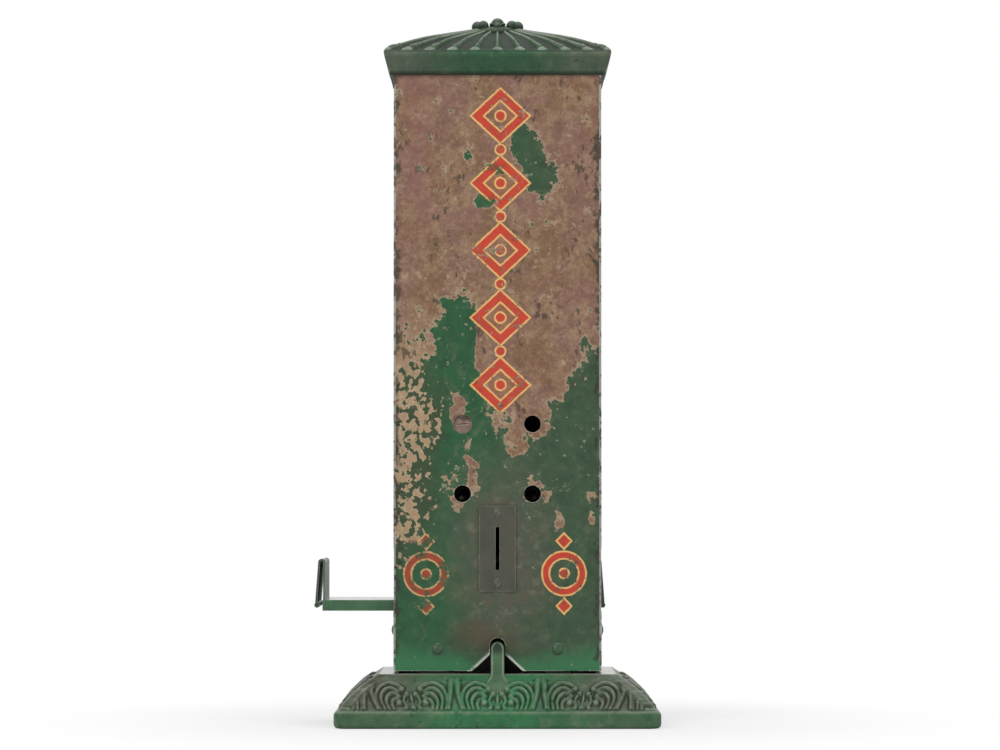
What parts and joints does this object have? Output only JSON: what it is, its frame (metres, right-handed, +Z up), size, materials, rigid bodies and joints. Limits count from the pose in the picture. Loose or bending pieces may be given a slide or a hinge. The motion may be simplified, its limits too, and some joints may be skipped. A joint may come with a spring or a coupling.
{
  "type": "match vending machine",
  "caption": "Counter-top match vendor: cast base and fluted lid, tall sheet-metal body, coin-released shuttle that delivers boxes left or right, cutter post and rear cash drawer.",
  "frame": {"origin": "centre of the base casting's underside, on the counter", "axes": "+Z up, front panel with the coin slot towards -Y, +X to the right seen from the front"},
  "size_m": [0.1658, 0.121, 0.3436],
  "materials": {
    "green_casting": "worn green enamel over cast iron",
    "worn_green_sheet": "chipped green enamel over brown primer",
    "painted_screw": "worn green enamel",
    "dark_tin": "dull tinplate",
    "brass": "tarnished brass",
    "nickel": "worn nickel plate",
    "blade_steel": "ground steel",
    "bare_steel": "aged bare steel"
  },
  "bodies": {
    "cabinet": {"base_casting": "green_casting", "body_shell": "worn_green_sheet", "rear_panel": "worn_green_sheet", "guide_rivets": "bare_steel", "deck_plate": "dark_tin", "column_guide_left": "dark_tin", "column_guide_right": "dark_tin", "guide_bolt": "bare_steel", "guide_nut": "bare_steel", "coin_plate": "worn_green_sheet", "coin_plate_screws": "bare_steel", "coin_chute": "dark_tin", "pawl_pin": "bare_steel", "front_foot_screws": "painted_screw", "side_foot_screws": "painted_screw", "lid_lock_barrel": "nickel", "lid_lock_nut": "bare_steel"},
    "shuttle": {"shuttle_tray": "worn_green_sheet", "shuttle_bridge": "dark_tin", "bridge_rivets": "bare_steel", "cutter_knife": "blade_steel", "knife_screws": "bare_steel"},
    "pawl": {"lock_pawl": "blade_steel"},
    "lid": {"lid_casting": "green_casting", "lid_catch": "bare_steel", "lid_catch_screw": "bare_steel"},
    "lid_lock": {"lid_lock_plug": "brass", "lid_lock_cam": "bare_steel", "lid_cam_screw": "bare_steel"},
    "drawer": {"cash_drawer": "dark_tin", "drawer_lock_barrel": "nickel", "drawer_lock_nut": "bare_steel"},
    "drawer_lock": {"drawer_lock_plug": "brass", "drawer_lock_cam": "bare_steel", "drawer_cam_screw": "bare_steel"}
  },
  "joints": [
    {"name": "shuttle_slide", "type": "slide", "parent": "cabinet", "child": "shuttle", "axis": [1, 0, 0], "range_m": [0, 0.0363]},
    {"name": "pawl_swing", "type": "hinge", "parent": "cabinet", "child": "pawl", "pos_m": [0, 0.022, 0.084], "axis": [1, 0, 0], "range_deg": [-14, 8]},
    {"name": "lid_lift", "type": "slide", "parent": "cabinet", "child": "lid", "axis": [0, 0, 1], "range_m": [0, 0.06]},
    {"name": "lid_lock_turn", "type": "hinge", "parent": "cabinet", "child": "lid_lock", "pos_m": [0, 0.03, 0.303], "axis": [0, 1, 0], "range_deg": [0, 90]},
    {"name": "drawer_slide", "type": "slide", "parent": "cabinet", "child": "drawer", "axis": [0, 1, 0], "range_m": [0, 0.05]},
    {"name": "drawer_lock_turn", "type": "hinge", "parent": "drawer", "child": "drawer_lock", "pos_m": [0, 0.033, 0.038], "axis": [0, 1, 0], "range_deg": [-90, 0]}
  ]
}
